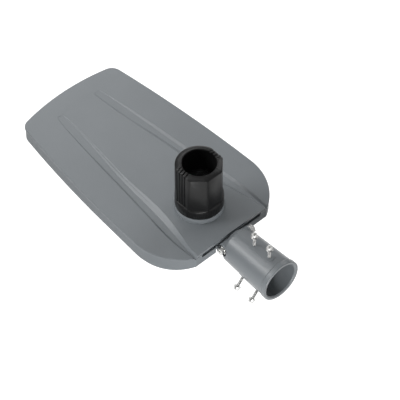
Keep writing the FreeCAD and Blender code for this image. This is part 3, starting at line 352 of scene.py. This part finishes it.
def slot_outline():
    """What a grip slot takes off, down a flat and in over the rim."""
    slot_in = FLAT_REACH - SLOT_DEPTH
    return [
        (CUT_OUT, SLOT_LOW),
        (CUT_OUT, SHELL_TOP + 3),
        (WELL_R - 1, SHELL_TOP + 3),
        (WELL_R - 1, SHELL_TOP - SLOT_DEPTH),
        (slot_in, RIM_EDGE - SLOT_DEPTH / 2),
        (slot_in, SLOT_LOW),
    ]


def sensor_shell():
    low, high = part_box("sensor_body")
    middle_y = (low[1] + high[1]) / 2
    cuts = [(flat_outline(), -SHELL_R, SHELL_R, turn) for turn in FLAT_TURNS]
    for turn in SLOT_TURNS:
        for place in range(SLOT_COUNT):
            middle = SLOT_PITCH * (place - (SLOT_COUNT - 1) / 2) - SLOT_SHIFT
            cuts.append((slot_outline(), middle - SLOT_WIDTH / 2, middle + SLOT_WIDTH / 2, turn))
    shell = lathe("sensor_shell", shell_section(), SHELL_SIDES)
    piece = new_piece("sensor_shell", shell, "black_plastic")
    cut_and_soften(piece, prisms("sensor_cuts", cuts), SHELL_EDGE)
    piece.data.transform(Matrix.Translation((0, middle_y, 0)))
    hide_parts("sensor_body")
    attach(piece, "sensor")


sensor_shell()


# Clamp screws: the four cap screws again, with their threads and broken edges

THREAD_R = 2.5
THREAD_PITCH = 0.8
THREAD_DEPTH = 0.42
THREAD_SIDES = 28
THREAD_ROWS = 8
HEAD_R = 4.5
HEAD_H = 4.5
HEAD_SIDES = 48
HEAD_EDGE = 0.35
KEY_R = 2.1
KEY_DEPTH = 2.7
KEY_SIDES = 6
LOWER_TURN = 220


def thread_radius(height, side, low):
    """The thread's radius in mm, which tapers to the root at its tip."""
    tip = min(1.0, (height - low) / THREAD_PITCH)
    phase = (height / THREAD_PITCH - side / THREAD_SIDES) % 1.0
    cut = THREAD_DEPTH * (1 - abs(2 * phase - 1)) + (1 - tip) * THREAD_DEPTH
    return THREAD_R - min(cut, THREAD_DEPTH)


def thread_mesh(name, low, high):
    """A closed rod along Z between two heights in mm, with a rolled thread down to its tip."""
    mesh = bpy.data.meshes.new(name)
    rows = int((high - low) / THREAD_PITCH * THREAD_ROWS)
    verts = []
    for row in range(rows + 1):
        height = low + (high - low) * row / rows
        for side in range(THREAD_SIDES):
            angle = 2 * math.pi * side / THREAD_SIDES
            radius = thread_radius(height, side, low) * MM
            verts.append((radius * math.cos(angle), radius * math.sin(angle), height * MM))
    faces = [tuple(reversed(range(THREAD_SIDES)))]
    for row in range(rows):
        here = row * THREAD_SIDES
        above = here + THREAD_SIDES
        for side in range(THREAD_SIDES):
            ahead = (side + 1) % THREAD_SIDES
            faces.append((here + side, here + ahead, above + ahead, above + side))
    faces.append(tuple(rows * THREAD_SIDES + side for side in range(THREAD_SIDES)))
    mesh.from_pydata(verts, [], faces)
    return mesh


def key_mesh(name, low, high):
    """The hexagonal prism that a hex socket takes out, between two heights in mm."""
    corners = []
    for k in range(KEY_SIDES):
        angle = 2 * math.pi * k / KEY_SIDES
        corners.append((KEY_R * math.cos(angle) * MM, KEY_R * math.sin(angle) * MM))
    verts = [(x, y, z * MM) for z in (low, high) for x, y in corners]
    faces = [tuple(reversed(range(KEY_SIDES))), tuple(range(KEY_SIDES, 2 * KEY_SIDES))]
    for k in range(KEY_SIDES):
        ahead = (k + 1) % KEY_SIDES
        faces.append((k, ahead, KEY_SIDES + ahead, KEY_SIDES + k))
    mesh = bpy.data.meshes.new(name)
    mesh.from_pydata(verts, [], faces)
    return mesh


def cap_head(name, seat):
    """A round screw head on its seat, with a hex socket."""
    top = seat + HEAD_H
    section = [(AXIS_R, seat), (HEAD_R, seat), (HEAD_R, top), (AXIS_R, top)]
    head = new_piece(name, lathe(name, section, HEAD_SIDES), "screw_steel")
    cut_and_soften(head, key_mesh(name + "_key", top - KEY_DEPTH, top + 1), HEAD_EDGE)
    return head


def clamp_screws(node, turn):
    """Both screws of a pair, standing where the frame has the upper pair, turned about the tube."""
    low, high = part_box("upper_clamp_screws")
    tip = low[2] / MM
    seat = high[2] / MM - HEAD_H
    head = cap_head(node + "_head", seat)
    thread = thread_mesh(node + "_thread", tip, seat)
    spin = Matrix.Rotation(math.radians(turn), 4, "Y")
    joined = bmesh.new()
    for y in (low[1] + HEAD_R * MM, high[1] - HEAD_R * MM):
        for shape in (head.data, thread):
            copy = shape.copy()
            copy.transform(spin @ Matrix.Translation((0, y, 0)))
            joined.from_mesh(copy)
            bpy.data.meshes.remove(copy)
    bpy.data.objects.remove(head)
    mesh = bpy.data.meshes.new(node + "_fine")
    joined.to_mesh(mesh)
    joined.free()
    piece = new_piece(node + "_fine", mesh, "screw_steel")
    smooth(mesh)
    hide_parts(node)
    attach(piece, "fitter")


clamp_screws("upper_clamp_screws", 0)
clamp_screws("lower_clamp_screws", LOWER_TURN)


# Camera: the photograph's view, found from the head's outline, the fitter and the sensor

CAMERA_AT = Vector((-1.7712, -1.7448, 3.1965))
CAMERA_RIGHT = Vector((0.73722, -0.67565, 0.0))
CAMERA_UP = Vector((0.52031, 0.56773, 0.63793))
CAMERA_BACK = Vector((-0.43102, -0.47030, 0.77009))
FOCAL_PIXELS = 2587.4
FRAME_PIXELS = 400
SENSOR_WIDTH = 36.0
FAR_CLIP = 60.0

camera_data = bpy.data.cameras.new("camera")
camera_data.sensor_width = SENSOR_WIDTH
camera_data.sensor_fit = "HORIZONTAL"
camera_data.lens = FOCAL_PIXELS * SENSOR_WIDTH / FRAME_PIXELS
camera_data.clip_end = FAR_CLIP
camera = bpy.data.objects.new("camera", camera_data)
camera_turn = Matrix((CAMERA_RIGHT, CAMERA_UP, CAMERA_BACK)).transposed()
camera.matrix_world = Matrix.Translation(CAMERA_AT) @ camera_turn.to_4x4()
bpy.context.scene.collection.objects.link(camera)
bpy.context.scene.camera = camera


# Floor, lamps and world

FLOOR_DEPTH = 0.42
FLOOR_HALF = 6.0
FLOOR_GLOW = 0.95
FLOOR_DARK = (0.44, 0.44, 0.44)
FLOOR_LIGHT = (0.46, 0.46, 0.46)


def floor_material():
    """Pale matt floor: the camera, metal and glass see it white, with the head's soft shadow."""
    material, tree, shader = new_material("floor_white")
    mottling = object_noise(tree, 3.0, 2.0)
    tree.links.new(two_tone(tree, mottling, FLOOR_DARK, FLOOR_LIGHT), shader.inputs["Base Color"])
    shader.inputs["Roughness"].default_value = 0.9
    shader.inputs["Specular IOR Level"].default_value = 0.1
    path = tree.nodes.new("ShaderNodeLightPath")
    seen = path.outputs["Is Camera Ray"]
    for ray in ("Is Glossy Ray", "Is Transmission Ray"):
        either = tree.nodes.new("ShaderNodeMath")
        either.operation = "MAXIMUM"
        tree.links.new(seen, either.inputs[0])
        tree.links.new(path.outputs[ray], either.inputs[1])
        seen = either.outputs["Value"]
    tree.links.new(remap(tree, seen, 0.0, 1.0, 0.0, FLOOR_GLOW), shader.inputs["Emission Strength"])
    shader.inputs["Emission Color"].default_value = (1, 1, 1, 1)
    return material


def make_floor():
    mesh = bpy.data.meshes.new("floor")
    corners = [(-FLOOR_HALF, -FLOOR_HALF, 0), (FLOOR_HALF, -FLOOR_HALF, 0),
               (FLOOR_HALF, FLOOR_HALF, 0), (-FLOOR_HALF, FLOOR_HALF, 0)]
    mesh.from_pydata(corners, [], [(0, 1, 2, 3)])
    floor = bpy.data.objects.new("floor", mesh)
    floor.location.z = -FLOOR_DEPTH
    mesh.materials.append(floor_material())
    bpy.context.scene.collection.objects.link(floor)


make_floor()


def area_light(name, place, target, size, power):
    """A soft rectangular lamp aimed at a point."""
    data = bpy.data.lights.new(name, "AREA")
    data.shape = "RECTANGLE"
    data.size, data.size_y = size
    data.energy = power
    lamp = bpy.data.objects.new(name, data)
    lamp.location = place
    lamp.rotation_euler = (Vector(target) - Vector(place)).to_track_quat("-Z", "Y").to_euler()
    bpy.context.scene.collection.objects.link(lamp)


HEAD_MIDDLE = (0.0, 0.30, 0.0)
area_light("key", (-1.08, 1.19, 1.27), HEAD_MIDDLE, (0.8, 0.8), 16)
area_light("over", (-0.30, 1.19, 1.65), HEAD_MIDDLE, (0.6, 0.6), 4)
area_light("top", (-0.3, 0.3, 2.2), HEAD_MIDDLE, (1.4, 1.4), 6)
area_light("far", (0.50, 1.35, 0.95), (0.0, 0.42, 0.0), (0.9, 0.6), 4.5)
area_light("right", (1.5, 0.4, 1.1), HEAD_MIDDLE, (1.0, 1.0), 8)
area_light("near", (0.6, -1.3, 0.9), (0.0, 0.2, 0.0), (0.8, 0.8), 1.8)
area_light("corner", (-0.55, -0.50, 0.05), (-0.1, 0.16, -0.02), (0.3, 0.3), 5.0)

WORLD_LIGHT = 0.05
WORLD_RAYS = (("Is Camera Ray", 1.0), ("Is Transmission Ray", 1.0), ("Is Glossy Ray", 0.3))


def make_world():
    """Dim white light all round, which the camera and glass see white and metal sees pale."""
    world = bpy.data.worlds.new("world")
    bpy.context.scene.world = world
    world.use_nodes = True
    tree = world.node_tree
    background = tree.nodes["Background"]
    background.inputs["Color"].default_value = (1, 1, 1, 1)
    path = tree.nodes.new("ShaderNodeLightPath")
    strength = None
    for ray, share in WORLD_RAYS:
        add = tree.nodes.new("ShaderNodeMath")
        add.operation = "MULTIPLY_ADD"
        add.inputs[1].default_value = share
        add.inputs[2].default_value = WORLD_LIGHT
        tree.links.new(path.outputs[ray], add.inputs[0])
        if strength:
            tree.links.new(strength, add.inputs[2])
        strength = add.outputs["Value"]
    tree.links.new(strength, background.inputs["Strength"])


make_world()

bpy.context.scene.view_settings.view_transform = "Standard"


bpy.context.view_layer.update()
